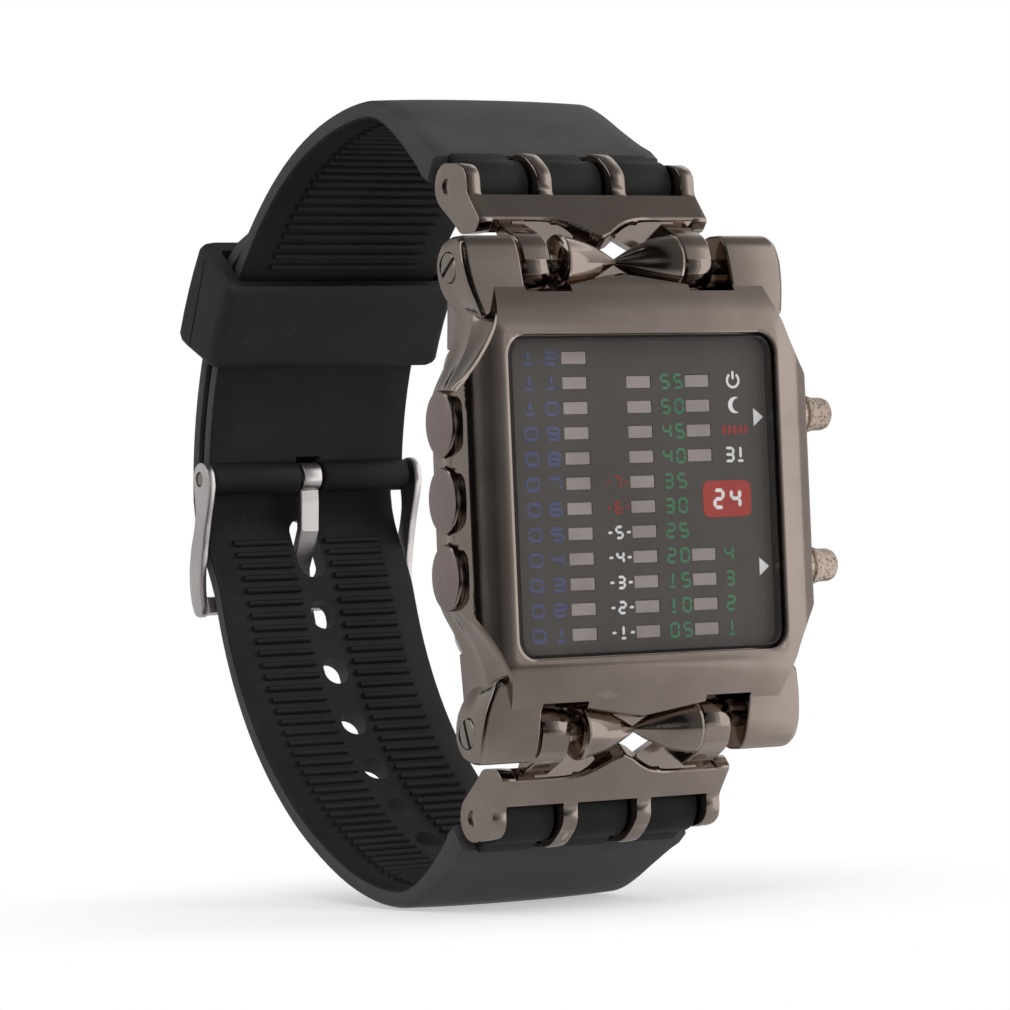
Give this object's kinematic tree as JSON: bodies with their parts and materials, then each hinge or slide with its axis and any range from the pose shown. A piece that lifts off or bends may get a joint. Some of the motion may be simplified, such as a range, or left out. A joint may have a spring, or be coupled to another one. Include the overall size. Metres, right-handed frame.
{
  "type": "led watch",
  "caption": "Wristwatch with a square dark metal case, bar-and-number light display, two side pushers, hinged end links and a buckled rubber strap.",
  "frame": {"origin": "centre of the case back's outer face, the face that lies on the wrist", "axes": "+Z towards 12 o'clock along the case, +X towards 3 o'clock, -Y out of the display, +Y from the case back into the wrist opening"},
  "size_m": [0.0443, 0.0731, 0.0804],
  "materials": {
    "gunmetal": "polished dark gunmetal plating",
    "crystal": "clear mineral glass with a bevelled edge",
    "seal": "matt black rubber",
    "dial": "dark smoked plate with printed figures",
    "bars": "unlit grey light bars",
    "board": "green fibre board",
    "chips": "black moulded parts",
    "holder": "off-white moulding",
    "cell": "nickel-plated steel",
    "contact": "spring brass",
    "steel": "satin stainless steel",
    "screw": "dark polished steel",
    "pusher": "bronze-tinted nickel",
    "stud": "satin dark gunmetal",
    "rubber": "matt charcoal rubber"
  },
  "bodies": {
    "case": {"case_shell": "gunmetal", "crystal": "crystal", "crystal_gasket": "seal", "dial_plate": "dial", "led_bars": "bars", "circuit_board": "board", "board_components": "chips", "module_holder": "holder", "battery": "cell", "battery_contact": "contact", "battery_clamp": "steel", "case_back": "steel", "case_back_gasket": "seal", "back_screws": "steel", "side_studs": "stud", "upper_pusher_spring": "steel", "lower_pusher_spring": "steel", "pusher_seals": "seal", "hinge_screws": "screw"},
    "upper_pusher": {"upper_pusher": "pusher", "upper_pusher_clip": "steel"},
    "lower_pusher": {"lower_pusher": "pusher", "lower_pusher_clip": "steel"},
    "upper_link": {"upper_link": "gunmetal", "upper_strap_pin": "steel"},
    "lower_link": {"lower_link": "gunmetal", "lower_strap_pin": "steel"},
    "upper_strap": {"upper_strap": "rubber"},
    "lower_strap": {"lower_strap": "rubber"},
    "keeper": {"keeper": "rubber"},
    "buckle_frame": {"buckle_frame": "steel", "buckle_spring_bar": "steel"},
    "buckle_tongue": {"buckle_tongue": "steel"}
  },
  "joints": [
    {"name": "upper_pusher_press", "type": "slide", "parent": "case", "child": "upper_pusher", "axis": [-1, 0, 0], "range_m": [0, 0.001], "stiffness_N_per_m": 500, "springref_m": -0.0005, "deforming": ["upper_pusher_spring"]},
    {"name": "lower_pusher_press", "type": "slide", "parent": "case", "child": "lower_pusher", "axis": [-1, 0, 0], "range_m": [0, 0.001], "stiffness_N_per_m": 500, "springref_m": -0.0005, "deforming": ["lower_pusher_spring"]},
    {"name": "upper_link_hinge", "type": "hinge", "parent": "case", "child": "upper_link", "pos_m": [0, -0.0073, 0.0219], "axis": [1, 0, 0], "range_deg": [-6, 6]},
    {"name": "lower_link_hinge", "type": "hinge", "parent": "case", "child": "lower_link", "pos_m": [0, -0.0073, -0.0219], "axis": [1, 0, 0], "range_deg": [-6.5, 6.5]},
    {"name": "upper_strap_hinge", "type": "hinge", "parent": "upper_link", "child": "upper_strap", "pos_m": [0, 0.0008, 0.0303], "axis": [1, 0, 0], "range_deg": [-5, 5]},
    {"name": "lower_strap_hinge", "type": "hinge", "parent": "lower_link", "child": "lower_strap", "pos_m": [0, 0.0008, -0.0303], "axis": [1, 0, 0], "range_deg": [-5, 5]},
    {"name": "keeper_slide", "type": "hinge", "parent": "upper_strap", "child": "keeper", "pos_m": [0, 0.0175, 0.0004], "axis": [1, 0, 0], "range_deg": [-12, 30]},
    {"name": "buckle_hinge", "type": "hinge", "parent": "upper_strap", "child": "buckle_frame", "pos_m": [0, 0.0555, 0.00433], "axis": [1, 0, 0], "range_deg": [0, 5]},
    {"name": "tongue_hinge", "type": "hinge", "parent": "buckle_frame", "child": "buckle_tongue", "pos_m": [0, 0.0555, 0.00433], "axis": [1, 0, 0], "range_deg": [0, 6]}
  ],
  "couplings": [
    {"joint": "lower_link_hinge", "follows": "upper_link_hinge", "ratio": 1},
    {"joint": "upper_strap_hinge", "follows": "upper_link_hinge", "ratio": -0.7228},
    {"joint": "lower_strap_hinge", "follows": "upper_link_hinge", "ratio": -0.7228}
  ]
}
